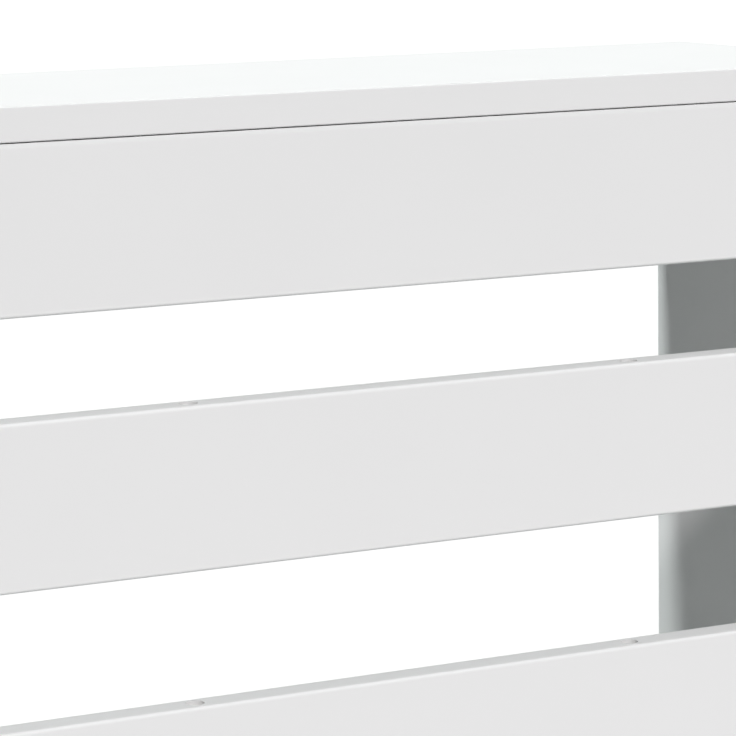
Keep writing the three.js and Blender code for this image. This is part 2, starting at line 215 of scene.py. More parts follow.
# Melamine-faced board: paper soaked in resin and pressed between steel plates. A satin white
# with a very fine pearl in its shine; the white itself is even.
melamineFinish = {
    "sockets": {"IOR": 1.5, "Specular IOR Level": 0.2, "Diffuse Roughness": 0.5},
    "whites": ("ECECEC", "EEEEEE"),
    "whiteCloud": (70, 70, 70),  # patterns are given by their sizes along X, Y and Z
    "roughness": (0.54, 0.6),
    "satinCloud": (30, 30, 30),
    "pearl": (0.8, 0.8, 0.8),  # really 0.3, drawn as coarse as it needs to show
    "pearlDepth": 0.006,
}


def melamineFace():
    look = melamineFinish
    material, tree, shader = startMaterial("melamineFacedBoard", look["sockets"])
    coloured(tree, shader, grain(tree, look["whiteCloud"]), look["whites"])
    roughened(tree, shader, grain(tree, look["satinCloud"]), look["roughness"])
    bumped(tree, shader, grain(tree, look["pearl"]), look["pearlDepth"])
    return material


# ABS edge band: plastic strip, glued on, then scraped round. Shinier than the face where light
# grazes it, with faint streaks along its length from the scraper.
bandFinish = {
    "sockets": {"IOR": 1.53, "Specular IOR Level": 1.0},
    "whites": ("ECECEC", "EEEEEE"),
    "roughness": (0.52, 0.6),
    "streak": (30, 0.7),  # length and width
    "streakDepth": 0.004,
}


def absEdgeBand(along):
    look = bandFinish
    material, tree, shader = startMaterial("absEdgeBand" + along, look["sockets"])
    streaks = grain(tree, drawnOut(*look["streak"], along))
    coloured(tree, shader, streaks, look["whites"])
    roughened(tree, shader, streaks, look["roughness"])
    bumped(tree, shader, streaks, look["streakDepth"])
    return material


# Drilled chipboard, sealed with white primer as the bores in the photograph are. Chalky white
# with paler and duller flakes a millimetre or two long, and the chips' crumbly surface.
primerFinish = {
    "sockets": {"Specular IOR Level": 0.25},
    "chip": (2.2, 1.3, 1.7),
    "chipDepth": 0.12,
    "chipStrength": 0.6,  # less than 1 because the primer fills the chips' edges
    "whites": ("E6E4DE", "F2F1ED"),
    "roughness": (0.75, 0.9),
    "grit": (0.5, 0.5, 0.5),
}


def primedBore():
    look = primerFinish
    material, tree, shader = startMaterial("primedChipboardBore", look["sockets"])
    chips = addNode(tree, "ShaderNodeTexVoronoi", None, {
        "Vector": scaledPlace(tree, look["chip"]), "Scale": 1.0})
    shade = addNode(tree, "ShaderNodeSeparateColor", None, {"Color": chips.outputs["Color"]})
    coloured(tree, shader, shade.outputs[0], look["whites"])
    roughened(tree, shader, grain(tree, look["grit"]), look["roughness"])
    bumped(tree, shader, chips.outputs["Distance"], look["chipDepth"], look["chipStrength"])
    return material


# Zinc die casting: poured under pressure and tumbled. Dull pewter grey, with a soft sheen and
# a slightly pitted skin.
castFinish = {
    "sockets": {"Metallic": 1},
    "greys": ("A5A8AB", "B9BBBD"),
    "greyCloud": (3, 3, 3),
    "roughness": (0.38, 0.55),
    "pit": (0.45, 0.45, 0.45),
    "pitDepth": 0.03,
}


def dieCastZinc():
    look = castFinish
    material, tree, shader = startMaterial("dieCastZinc", look["sockets"])
    pits = grain(tree, look["pit"], detail=3)
    coloured(tree, shader, grain(tree, look["greyCloud"]), look["greys"])
    roughened(tree, shader, pits, look["roughness"])
    bumped(tree, shader, pits, look["pitDepth"])
    return material


# Zinc-plated steel: turned or stamped, then plated bright. Cool silver, fairly glossy, with
# fine streaks along the way that the steel was drawn or rolled.
platedFinish = {
    "sockets": {"Metallic": 1},
    "silvers": ("979CA1", "B2B6BA"),
    "roughness": (0.24, 0.36),
    "drawnStreak": (12, 0.5),  # length and width, on bolts and screws
    "rolledStreak": (10, 10, 0.4),  # on the brackets, which are rolled flat
    "streakDepth": 0.008,
}


def zincPlatedSteel(name, size):
    look = platedFinish
    material, tree, shader = startMaterial(name, look["sockets"])
    streaks = grain(tree, size)
    coloured(tree, shader, streaks, look["silvers"])
    roughened(tree, shader, streaks, look["roughness"])
    bumped(tree, shader, streaks, look["streakDepth"])
    return material


# Beech dowel: turned and fluted hardwood. Warm straw pink, with short dark pores and fine
# lines along the grain.
beechFinish = {
    "sockets": {"Specular IOR Level": 0.35, "Roughness": 0.68},
    "straws": ("CDA070", "E3C497"),
    "line": (14, 0.9),  # length and width, as the next
    "pore": (2.5, 0.25),
    "poreColours": ("8A6240", "FFFFFF"),  # in a pore, and between pores
    "poreShade": 0.4,
    "poreDepth": 0.05,
}


def beechDowel(along):
    look = beechFinish
    material, tree, shader = startMaterial("beechDowel" + along, look["sockets"])
    lines = grain(tree, drawnOut(*look["line"], along), detail=3)
    pores = grain(tree, drawnOut(*look["pore"], along))
    wood = blendColours(tree, spread(tree, lines, 0, 1), look["straws"])
    darkened = blendColours(tree, spread(tree, pores, 0, 1), look["poreColours"])
    porous = addNode(tree, "ShaderNodeMix", {"data_type": "RGBA", "blend_type": "MULTIPLY"}, {
        "Factor": look["poreShade"]})
    tree.links.new(wood, porous.inputs[6])
    tree.links.new(darkened, porous.inputs[7])
    tree.links.new(porous.outputs[2], shader.inputs["Base Color"])
    bumped(tree, shader, pores, look["poreDepth"])
    return material


# Polyethylene glide: injection moulded. Milky, waxy white with a soft shine.
waxyFinish = {
    "sockets": {"IOR": 1.51},
    "whites": ("EDEDE8", "F2F2EE"),
    "waxCloud": (4, 4, 4),
    "roughness": (0.3, 0.4),
    "mouldSkin": (0.4, 0.4, 0.4),
    "skinDepth": 0.01,
}


def polyethylene():
    look = waxyFinish
    material, tree, shader = startMaterial("polyethyleneGlide", look["sockets"])
    wax = grain(tree, look["waxCloud"])
    coloured(tree, shader, wax, look["whites"])
    roughened(tree, shader, wax, look["roughness"])
    bumped(tree, shader, grain(tree, look["mouldSkin"]), look["skinDepth"])
    return material


# Paper floor of a photo studio: matt and pale, and lit up to a bare white in the distance.
def paperFloor():
    material, tree, shader = startMaterial("paperFloor", {
        "Base Color": linear(studio["floor"]), "Roughness": 0.9, "Specular IOR Level": 0.1,
        "Emission Color": linear(studio["backdrop"])})
    place = addNode(tree, "ShaderNodeTexCoord").outputs["Object"]
    away = addNode(tree, "ShaderNodeVectorMath", {"operation": "LENGTH"}, {"Vector": place})
    (near, far), (dim, bright) = studio["floorFade"], studio["floorGlow"]
    glow = addNode(tree, "ShaderNodeMapRange", {"interpolation_type": "SMOOTHSTEP"}, {
        "Value": away.outputs["Value"], "From Min": near, "From Max": far,
        "To Min": dim, "To Max": bright})
    tree.links.new(glow.outputs[0], shader.inputs["Emission Strength"])
    return material


melamine = melamineFace()
band = {along: absEdgeBand(along) for along in "XYZ"}
boreWall = primedBore()
castZinc = dieCastZinc()
boltSteel = {}
for along in "XZ":
    size = drawnOut(*platedFinish["drawnStreak"], along)
    boltSteel[along] = zincPlatedSteel("zincPlatedBolt" + along, size)
bracketSteel = zincPlatedSteel("zincPlatedBracket", platedFinish["rolledStreak"])
beech = {along: beechDowel(along) for along in "XZ"}
glidePlastic = polyethylene()
print("materials made")


# Workshop: what every piece is made with.

workshop = {
    "straight": 0.999,  # least cosine between directions that count as the same
    "overrun": 1.0,  # how far outside its board a drill starts
    "toothRoot": 0.62,  # widths of a thread's tooth, as shares of its pitch
    "toothCrest": 0.14,
    "toothSunk": 0.15,  # how deep it stands in the core
    "crossTaper": 0.72,  # lower end of a cross recess's cutter, as a share of its upper end
    "smoothUpTo": 35,  # degrees between faces that are shaded as one
    "largeFaces": 60,  # their weight in the normals
}


def pick(*objects):
    bpy.ops.object.select_all(action="DESELECT")
    for obj in objects:
        obj.select_set(True)
    bpy.context.view_layer.objects.active = objects[0]


def startEdit(obj, what="EDGE"):
    pick(obj)
    bpy.ops.object.mode_set(mode="EDIT")
    bpy.ops.mesh.select_mode(type=what)
    bpy.ops.mesh.select_all(action="DESELECT")


def leaveEdit():
    bpy.ops.object.mode_set(mode="OBJECT")


# In edit mode, selects the vertices, edges or faces that pass the test.
def selectWhere(obj, kind, test):
    bpy.ops.mesh.select_all(action="DESELECT")
    mesh = bmesh.from_edit_mesh(obj.data)
    for item in getattr(mesh, kind):
        if test(item):
            item.select_set(True)
    mesh.select_flush_mode()
    bmesh.update_edit_mesh(obj.data)


def parallel(way, axis):
    return abs(way.dot(axis)) > workshop["straight"]


def same(first, second):
    return abs(first - second) < touching


def runsAlong(edge, axis):
    way = edge.verts[1].co - edge.verts[0].co
    return parallel(way.normalized(), axis)


def spotOf(edge):
    return (edge.verts[0].co + edge.verts[1].co) / 2


# True for an edge or a face that lies level at the height.
def liesAt(item, height):
    return all(same(vert.co.z, height) for vert in item.verts)


def applyPlace(obj):
    pick(obj)
    bpy.ops.object.transform_apply(location=True, rotation=True, scale=True)


def applyModifier(obj, kind, **settings):
    modifier = obj.modifiers.new(kind, kind)
    for name, value in settings.items():
        setattr(modifier, name, value)
    pick(obj)
    bpy.ops.object.modifier_apply(modifier=modifier.name)


def combine(obj, other, operation):
    applyModifier(obj, "BOOLEAN", object=other, operation=operation, solver="EXACT")
    bpy.data.objects.remove(other)


# A cylinder between two points.
def rod(start, end, diameter, facets=48):
    way = end - start
    bpy.ops.object.select_all(action="DESELECT")
    bpy.ops.mesh.primitive_cylinder_add(
        vertices=facets, radius=diameter / 2, depth=way.length, location=(start + end) / 2,
        rotation=way.to_track_quat("Z", "Y").to_euler())
    cylinder = bpy.context.active_object
    applyPlace(cylinder)
    return cylinder


def block(low, high):
    bpy.ops.object.select_all(action="DESELECT")
    bpy.ops.mesh.primitive_cube_add(size=1, location=(low + high) / 2, scale=high - low)
    cube = bpy.context.active_object
    applyPlace(cube)
    return cube


# Bores into a board from its mouth; the diameter and depth are in mm.
def drill(board, mouth, into, diameter, depth):
    start = mouth - into * (workshop["overrun"] * mm)
    end = mouth + into * (depth * mm)
    combine(board, rod(start, end, diameter * mm), "DIFFERENCE")


# Turned piece on Z: each step is a radius and a height in mm, extruded from the last one.
def turned(name, steps, facets):
    radius, height = steps[0]
    bpy.ops.object.select_all(action="DESELECT")
    bpy.ops.mesh.primitive_circle_add(
        vertices=facets, radius=radius * mm, fill_type="NGON", location=(0, 0, height * mm))
    piece = bpy.context.active_object
    piece.name = name
    applyPlace(piece)
    bpy.ops.object.mode_set(mode="EDIT")
    bpy.ops.mesh.select_mode(type="FACE")
    bpy.ops.mesh.select_all(action="SELECT")
    for nextRadius, nextHeight in steps[1:]:
        rise = (nextHeight - height) * mm
        bpy.ops.mesh.extrude_region_move(TRANSFORM_OT_translate={"value": (0, 0, rise)})
        share = nextRadius / radius
        bpy.ops.transform.resize(value=(share, share, 1), center_override=(0, 0, nextHeight * mm))
        radius, height = nextRadius, nextHeight
    bpy.ops.mesh.select_all(action="SELECT")
    bpy.ops.mesh.normals_make_consistent(inside=False)
    leaveEdit()
    return piece


# Adds a thread to a turned piece: one tooth is drawn, wound up the shank and joined on.
def windThread(piece, sizes, low, high):
    coreRadius, crestRadius, pitch = sizes["coreRadius"], sizes["crestRadius"], sizes["pitch"]
    rootHeight, crestHeight = workshop["toothRoot"] * pitch, workshop["toothCrest"] * pitch
    sunk = workshop["toothSunk"]
    bpy.ops.object.select_all(action="DESELECT")
    middle = Vector(((coreRadius - sunk + crestRadius) / 2 * mm, 0, low * mm))
    bpy.ops.mesh.primitive_plane_add(size=1, location=middle, rotation=(math.pi / 2, 0, 0))
    tooth = bpy.context.active_object
    tooth.scale = ((crestRadius - coreRadius + sunk) * mm, rootHeight * mm, 1)
    applyPlace(tooth)
    startEdit(tooth, "VERT")
    selectWhere(tooth, "verts", lambda vert: vert.co.x > middle.x)
    share = crestHeight / rootHeight
    bpy.ops.transform.resize(value=(1, 1, share), center_override=middle)
    bpy.ops.mesh.select_all(action="SELECT")
    bpy.ops.mesh.delete(type="ONLY_FACE")
    leaveEdit()
    turns = (high - low) / pitch
    wholeTurns = math.floor(turns)
    applyModifier(tooth, "SCREW", axis="Z", angle=2 * math.pi * turns / wholeTurns,
                  screw_offset=(high - low) * mm / wholeTurns, iterations=wholeTurns,
                  steps=sizes["threadSteps"], render_steps=sizes["threadSteps"],
                  use_merge_vertices=True)
    startEdit(tooth)
    bpy.ops.mesh.select_non_manifold()
    bpy.ops.mesh.edge_face_add()
    bpy.ops.mesh.select_all(action="SELECT")
    bpy.ops.mesh.normals_make_consistent(inside=False)
    leaveEdit()
    combine(piece, tooth, "UNION")


# Cuts a cross recess for a screwdriver into a face at the height top on Z.
def cutCross(piece, sizes, top):
    long, wide = sizes["cross"] / 2, sizes["crossSlot"] / 2
    deep = axisZ * sizes["crossDepth"] * mm
    face = axisZ * top * mm
    taper = workshop["crossTaper"]
    for half in (Vector((long, wide, 0)) * mm, Vector((wide, long, 0)) * mm):
        bar = block(face - half - deep, face + half + deep)
        startEdit(bar, "VERT")
        selectWhere(bar, "verts", lambda vert: vert.co.z < face.z)
        bpy.ops.transform.resize(value=(taper, taper, 1), center_override=face)
        leaveEdit()
        combine(piece, bar, "DIFFERENCE")


# Smooth shading over roundings, sharp at real corners, and flat faces kept truly flat.
def finishShading(obj, angle=workshop["smoothUpTo"]):
    pick(obj)
    bpy.ops.object.shade_smooth_by_angle(angle=math.radians(angle))
    applyModifier(obj, "WEIGHTED_NORMAL", keep_sharp=True, weight=workshop["largeFaces"])


# A copy of a piece with a mesh of its own, moved by the matrix.
def copyTo(piece, name, matrix):
    copy = piece.copy()
    copy.data = piece.data.copy()
    copy.name = name
    copy.data.transform(matrix)
    scene.collection.objects.link(copy)
    return copy


def setUp(piece, slot, *nodes):
    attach(piece, "root")
    if nodes:
        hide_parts(*nodes)


def middleOf(node):
    low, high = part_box(node)
    return (low + high) / 2


# Places a fitting: its own Z along the way, its own X along the second direction.
def turnedTo(place, way, across):
    third = way.cross(across)
    basis = Matrix((across, third, way)).transposed().to_4x4()
    return Matrix.Translation(place) @ basis


# Boards: blanks on their nodes' boxes, with rounded edges, bores and edge bands.

boards = {
    "arris": 1.5,  # rounding of the long edges, scraped into the edge band
    "topArris": 0.7,  # of all the top board's edges
    "buttArris": 0.2,  # on the first slat's upper edge, under the top board
    "arrisSegments": 8,
    "bandThickness": 2.0,
    "faceBoreDepth": 11.5,
    "endGap": 0.5,  # between a dowel's end and the bottom of its bore
    "play": 0.4,  # on the diameter of a dowel in its bore
    "boltBore": 6.4,  # bores are given by their diameters
    "boltChannel": 8.0,
    "camHousing": 15.0,
    "camHousingDepth": 12.5,
    "camSetback": 34.0,  # from the board's end to the cam's axis
    "nailBore": 2.4,
    "nailBoreDepth": 14.5,
}
slatNumbers = range(1, 7)
topDowels = range(1, 5)


def boardBlank(name, node):
    board = block(*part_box(node))
    board.name = name
    return board


def roundEdges(board, size, test):
    startEdit(board)
    selectWhere(board, "edges", test)
    bpy.ops.mesh.bevel(offset=boards[size] * mm, segments=boards["arrisSegments"], profile=0.5,
                       affect="EDGES")
    leaveEdit()


def atEnd(value, low, high):
    return same(value, low) or same(value, high)


# X of a side panel's inner face, where the slats' ends meet it.
def innerFace(side):
    low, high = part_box(f"side_panel_{side}")
    return low.x if sides[side] > 0 else high.x


# Cuts a line through the faces where the edge band ends.
def scoreBoard(board, place, normal):
    startEdit(board)
    bpy.ops.mesh.select_all(action="SELECT")
    bpy.ops.mesh.bisect(plane_co=place, plane_no=normal)
    leaveEdit()


# Gives each face its material: band where bandFor(centre) names its direction, melamine where
# faced(centre, normal) holds, and the bores' primer elsewhere.
def faceBoard(board, bandFor, faced):
    kinds = {"melamine": melamine, "bore": boreWall, **band}
    for material in kinds.values():
        board.data.materials.append(material)
    for polygon in board.data.polygons:
        kind = bandFor(polygon.center)
        if kind is None:
            kind = "melamine" if faced(polygon.center, polygon.normal) else "bore"
        polygon.material_index = list(kinds).index(kind)
    finishShading(board)


# Depth and diameter, in mm, of a dowel's bore in the end or edge of a board.
def dowelBoreIn(node):
    low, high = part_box(node)
    length = max(high - low) / mm
    inEnd = length - (boards["faceBoreDepth"] - boards["endGap"])
    diameter = sorted(high - low)[0] / mm
    return inEnd + boards["endGap"], diameter + boards["play"]


def makeSlat(node, upperArris):
    low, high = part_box(node)
    slat = boardBlank(f"{node}_faced", node)
    roundEdges(slat, "arris", lambda edge: runsAlong(edge, axisX) and liesAt(edge, low.z))
    roundEdges(slat, upperArris, lambda edge: runsAlong(edge, axisX) and liesAt(edge, high.z))
    dowelDepth, dowelBore = dowelBoreIn("dowel_slat_2_left")
    dowelDrop = middleOf("bolt_slat_2_left") - middleOf("dowel_slat_2_left")
    for side, sign in sides.items():
        end = high.x if sign > 0 else low.x
        into = axisX * -sign
        boltAt = middleOf(f"bolt_{node}_{side}")
        dowelAt = boltAt - axisZ * dowelDrop.z
        drill(slat, Vector((end, boltAt.y, boltAt.z)), into, boards["boltChannel"],
              boards["camSetback"])
        drill(slat, Vector((end, dowelAt.y, dowelAt.z)), into, dowelBore, dowelDepth)
        camX = end - sign * boards["camSetback"] * mm
        drill(slat, Vector((camX, high.y, boltAt.z)), -axisY, boards["camHousing"],
              boards["camHousingDepth"])
    for number in topDowels:
        mouth = Vector((middleOf(f"dowel_top_{number}").x, (low.y + high.y) / 2, high.z))
        drill(slat, mouth, -axisZ, dowelBore, dowelDepth)
    thick = boards["bandThickness"] * mm
    scoreBoard(slat, high - axisZ * thick, axisZ)
    scoreBoard(slat, low + axisZ * thick, axisZ)

    def bandFor(centre):
        if not low.z + thick < centre.z < high.z - thick:
            return "X"
        return "Y" if atEnd(centre.x, low.x, high.x) else None

    def faced(centre, normal):
        return parallel(normal, axisY) and atEnd(centre.y, low.y, high.y)

    faceBoard(slat, bandFor, faced)
    return slat


def makeSidePanel(side, sign):
    node = f"side_panel_{side}"
    low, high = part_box(node)
    panel = boardBlank(f"{node}_faced", node)
    roundEdges(panel, "arris", lambda edge: runsAlong(edge, axisZ))
    inner = innerFace(side)
    outwards = axisX * sign
    dowelDepth, dowelBore = dowelBoreIn(f"dowel_panel_{side}")
    deep = boards["faceBoreDepth"]
    dowelDrop = middleOf(f"bolt_slat_2_{side}").z - middleOf(f"dowel_slat_2_{side}").z
    for number in slatNumbers:
        boltAt = middleOf(f"bolt_slat_{number}_{side}")
        dowelZ = boltAt.z - dowelDrop
        drill(panel, Vector((inner, boltAt.y, boltAt.z)), outwards, boards["boltBore"], deep)
        drill(panel, Vector((inner, boltAt.y, dowelZ)), outwards, dowelBore, deep)
    boltAt = middleOf(f"bolt_panel_{side}")
    dowelAt = middleOf(f"dowel_panel_{side}")
    camY = middleOf(f"cam_panel_{side}").y
    camZ = high.z - boards["camSetback"] * mm
    drill(panel, Vector((boltAt.x, boltAt.y, high.z)), -axisZ, boards["boltChannel"],
          boards["camSetback"])
    drill(panel, Vector((dowelAt.x, dowelAt.y, high.z)), -axisZ, dowelBore, dowelDepth)
    drill(panel, Vector((inner, camY, camZ)), outwards, boards["camHousing"],
          boards["camHousingDepth"])
    for end in ("front", "back"):
        nailAt = middleOf(f"glide_{end}_{side}")
        drill(panel, Vector((nailAt.x, nailAt.y, low.z)), axisZ, boards["nailBore"],
              boards["nailBoreDepth"])
    thick = boards["bandThickness"] * mm
    scoreBoard(panel, high - axisY * thick, axisY)
    scoreBoard(panel, low + axisY * thick, axisY)

    def bandFor(centre):
        if not low.y + thick < centre.y < high.y - thick:
            return "Z"
        return "Y" if atEnd(centre.z, low.z, high.z) else None

    def faced(centre, normal):
        return parallel(normal, axisX) and atEnd(centre.x, low.x, high.x)

    faceBoard(panel, bandFor, faced)
    setUp(panel, "white_board", node)


def makeTopBoard():
    node = "top_board"
    low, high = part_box(node)
    top = boardBlank(f"{node}_faced", node)
    roundEdges(top, "topArris", lambda edge: True)
    deep = boards["faceBoreDepth"]
    dowelBore = dowelBoreIn("dowel_top_1")[1]
    for side in sides:
        for fitting, diameter in (("bolt", boards["boltBore"]), ("dowel", dowelBore)):
            at = middleOf(f"{fitting}_panel_{side}")
            drill(top, Vector((at.x, at.y, low.z)), axisZ, diameter, deep)
    for number in topDowels:
        at = middleOf(f"dowel_top_{number}")
        drill(top, Vector((at.x, at.y, low.z)), axisZ, dowelBore, deep)
    arris = boards["topArris"] * mm

    # The melamine is wrapped round this board's edges, so only the bores lack it
    def faced(centre, normal):
        toSide = min(centre.x - low.x, high.x - centre.x, centre.y - low.y, high.y - centre.y)
        return toSide < arris or (parallel(normal, axisZ) and atEnd(centre.z, low.z, high.z))

    faceBoard(top, lambda centre: None, faced)
    setUp(top, "white_board", node)


makeTopBoard()
for side, sign in sides.items():
    makeSidePanel(side, sign)
setUp(makeSlat("slat_1", "buttArris"), "white_board", "slat_1")
slatMaster = makeSlat("slat_2", "arris")
slatMaster.name = "slatMaster"
for number in slatNumbers[1:]:
    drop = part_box(f"slat_{number}")[0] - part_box("slat_2")[0]
    slat = copyTo(slatMaster, f"slat_{number}_faced", Matrix.Translation(drop))
    setUp(slat, "white_board", f"slat_{number}")
bpy.data.objects.remove(slatMaster)
print("boards cut, bored and edged")


# Cams: cast housings that the bolts' heads hook into.

cam = {
    "radius": 7.3,
    "face": -0.2,  # below the board's face, which is at 0
    "bottom": -12.0,
    "facets": 72,
    "rimChamfer": 0.35,
    "rimChamferSegments": 3,
    "rimWidth": 0.9,
    "rimHeight": 0.25,
    "rimDraft": 0.97,  # size of the face inside the rim, as a share of the rim's mouth
    "boltAxis": -7.5,
    "chamberRadius": 4.9,
    "chamberHeight": 7.8,
    "neckSlot": 5.0,
    "slotReach": 1.3,  # of the radius, so that the cutters come out past the rim
    "slotPlane": 0.98,  # of that reach, so that the spun plane misses its axis
    "slotSteps": 16,
    "lockedSlack": 30,  # degrees of slot before the bolt
    "entryAngle": 100,  # degrees from the bolt to the entry hole
    "entryHole": 7.8,
    "cross": 8.0,
    "crossSlot": 1.6,
    "crossDepth": 2.2,
    "arrowSize": 1.3,
    "arrowDepth": 0.5,  # half of it in the metal
    "arrowFromAxis": 5.2,
}


def makeCam():
    bottom, top = axisZ * cam["bottom"] * mm, axisZ * cam["face"] * mm
    piece = rod(bottom, top, 2 * cam["radius"] * mm, cam["facets"])
    startEdit(piece)
    selectWhere(piece, "edges", lambda edge: liesAt(edge, top.z))
    bpy.ops.mesh.bevel(offset=cam["rimChamfer"] * mm, segments=cam["rimChamferSegments"],
                       affect="EDGES")
    bpy.ops.mesh.select_mode(type="FACE")
    selectWhere(piece, "faces", lambda face: liesAt(face, top.z))
    bpy.ops.mesh.inset(thickness=(cam["rimWidth"] - cam["rimChamfer"]) * mm)
    sink = (0, 0, -cam["rimHeight"] * mm)
    bpy.ops.mesh.extrude_region_move(TRANSFORM_OT_translate={"value": sink})
    draft = cam["rimDraft"]
    bpy.ops.transform.resize(value=(draft, draft, 1), center_override=top)
    leaveEdit()
    # Chamber for the bolt's head, seen through the slot
    middle = axisZ * cam["boltAxis"] * mm
    half = axisZ * cam["chamberHeight"] / 2 * mm
    combine(piece, rod(middle - half, middle + half, 2 * cam["chamberRadius"] * mm), "DIFFERENCE")
    # Slot for its neck, spun from the locked place round to the entry hole
    reach = cam["radius"] * cam["slotReach"] * mm
    bpy.ops.object.select_all(action="DESELECT")
    bpy.ops.mesh.primitive_plane_add(
        size=1, location=middle + axisX * reach / 2, rotation=(math.pi / 2, 0, 0))
    slot = bpy.context.active_object
    slot.scale = (reach * cam["slotPlane"], cam["neckSlot"] * mm, 1)
    applyPlace(slot)
    startEdit(slot, "FACE")
    bpy.ops.mesh.select_all(action="SELECT")
    bpy.ops.transform.rotate(
        value=math.radians(cam["lockedSlack"]), orient_axis="Z", center_override=(0, 0, 0))
    bpy.ops.mesh.spin(
        steps=cam["slotSteps"], angle=math.radians(cam["lockedSlack"] + cam["entryAngle"]),
        center=(0, 0, 0), axis=(0, 0, -1))
    bpy.ops.mesh.select_all(action="SELECT")
    bpy.ops.mesh.normals_make_consistent(inside=False)
    leaveEdit()
    combine(piece, slot, "DIFFERENCE")
    entry = math.radians(-cam["entryAngle"])
    way = Vector((math.cos(entry), math.sin(entry), 0))
    combine(piece, rod(middle, middle + way * reach, cam["entryHole"] * mm), "DIFFERENCE")
    sunkFace = cam["face"] - cam["rimHeight"]
    cutCross(piece, cam, sunkFace)
    # Arrow in the face that points at the bolt's mouth
    size = cam["arrowSize"] * mm
    bpy.ops.object.select_all(action="DESELECT")
    bpy.ops.mesh.primitive_cylinder_add(
        vertices=3, radius=size / 2, depth=cam["arrowDepth"] * mm,
        location=(cam["arrowFromAxis"] * mm, 0, sunkFace * mm), rotation=(0, 0, -math.pi / 2))
    arrow = bpy.context.active_object
    applyPlace(arrow)
    combine(piece, arrow, "DIFFERENCE")
    piece.data.materials.append(castZinc)
    finishShading(piece)
    return piece


camMaster = makeCam()
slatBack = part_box("slat_2")[1].y
for side, sign in sides.items():
    for number in slatNumbers:
        node = f"cam_slat_{number}_{side}"
        at = middleOf(node)
        place = turnedTo(Vector((at.x, slatBack, at.z)), axisY, axisX * sign)
        setUp(copyTo(camMaster, f"{node}_cast", place), "cam_zinc", node)
    node = f"cam_panel_{side}"
    at = middleOf(node)
    place = turnedTo(Vector((innerFace(side), at.y, at.z)), axisX * -sign, axisZ)
    setUp(copyTo(camMaster, f"{node}_cast", place), "cam_zinc", node)
bpy.data.objects.remove(camMaster)
print("cams cast")


# Bolts and dowels, each turned once and copied into the joints.

bolt = {
    "tip": -11.0,  # in the other board's face; the joint is at 0
    "tipTaper": (0.8, 1.0),  # how much narrower the tip is, and over what length
    "coreRadius": 2.2,
    "crestRadius": 3.1,
    "pitch": 2.0,
    "threadEnd": -0.2,  # just short of the joint
    "threadSteps": 32,  # in one turn
    "collarStart": 0.02,  # a hairline from the board's face
    "collarEnd": 1.5,
    "collarRadius": 3.6,
    "edge": 0.2,  # chamfer round the collar and under the head
    "shankRadius": 3.0,
    "neckRadius": 2.1,
    "neckLength": 5.5,
    "neckTaper": 1.0,
    "headRadius": 3.5,
    "headSeat": 30.97,  # where the cam's rim holds the head
    "headLength": 3.0,
    # Rounding of the head's end: inwards from its radius, and back from its end
    "headRounding": ((0.0, 1.0), (0.35, 0.4), (1.0, 0.0)),
    "cross": 3.6,
    "crossSlot": 0.8,
    "crossDepth": 1.4,
    "facets": 40,
}


def makeBolt():
    core, shank, neck = bolt["coreRadius"], bolt["shankRadius"], bolt["neckRadius"]
    collar, head, edge = bolt["collarRadius"], bolt["headRadius"], bolt["edge"]
    narrower, taper = bolt["tipTaper"]
    threadStart = bolt["tip"] + taper
    collarStart, collarEnd = bolt["collarStart"], bolt["collarEnd"]
    seat = bolt["headSeat"]
    neckStart = seat - bolt["neckLength"]
    headEnd = seat + bolt["headLength"]
    piece = turned("bolt", [
        (core - narrower, bolt["tip"]),
        (core, threadStart),
        (core, collarStart),
        (collar - edge, collarStart),
        (collar, collarStart + edge),
        (collar, collarEnd - edge),
        (collar - edge, collarEnd),
        (shank, collarEnd),
        (shank, neckStart - bolt["neckTaper"]),
        (neck, neckStart),
        (neck, seat),
        (head - edge, seat),
        (head, seat + edge),
        *[(head - inwards, headEnd - back) for inwards, back in bolt["headRounding"]],
    ], bolt["facets"])
    windThread(piece, bolt, threadStart, bolt["threadEnd"])
    cutCross(piece, bolt, headEnd)
    finishShading(piece)
    return piece


dowel = {
    "radius": 4.0,
    "inFace": 11.0,  # its length in the face of one board
    "inEnd": 19.0,  # and in the end or the edge of the other
    "chamfer": 1.0,
    "flutes": 24,
    "facetsPerFlute": 3,
    "fluteDepth": 0.28,
    "smoothUpTo": 20,  # degrees, less than elsewhere so that the flutes stay crisp
}


def makeDowel():
    facets = dowel["facetsPerFlute"] * dowel["flutes"]
    piece = turned("dowel", [
        (dowel["radius"] - dowel["chamfer"], -dowel["inFace"]),
        (dowel["radius"], dowel["chamfer"] - dowel["inFace"]),
        (dowel["radius"], dowel["inEnd"] - dowel["chamfer"]),
        (dowel["radius"] - dowel["chamfer"], dowel["inEnd"]),
    ], facets)

    # In each flute's width, one corner of the outline is the bottom
    def inFlute(vert):
        corner = round(math.atan2(vert.co.y, vert.co.x) / (2 * math.pi) * facets)
        return corner % dowel["facetsPerFlute"] == 0

    startEdit(piece, "VERT")
    selectWhere(piece, "verts", inFlute)
    share = 1 - dowel["fluteDepth"] / dowel["radius"]
    bpy.ops.transform.resize(value=(share, share, 1), center_override=(0, 0, 0))
    leaveEdit()
    finishShading(piece, dowel["smoothUpTo"])
    return piece


fittings = {
    "bolt": {
        "master": makeBolt(), "finish": "threaded", "slot": "bolt_steel", "material": boltSteel},
    "dowel": {
        "master": makeDowel(), "finish": "fluted", "slot": "dowel_beech", "material": beech},
}
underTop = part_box("top_board")[0].z


# Stands a copy in its joint; along is the axis letter that its material's streaks follow.
def standFitting(kind, node, place, way, along):
    fitting = fittings[kind]
    matrix = turnedTo(place, way, axisZ if along == "X" else axisX)
    piece = copyTo(fitting["master"], f"{node}_{fitting['finish']}", matrix)
    piece.data.materials.append(fitting["material"][along])
    setUp(piece, fitting["slot"], node)


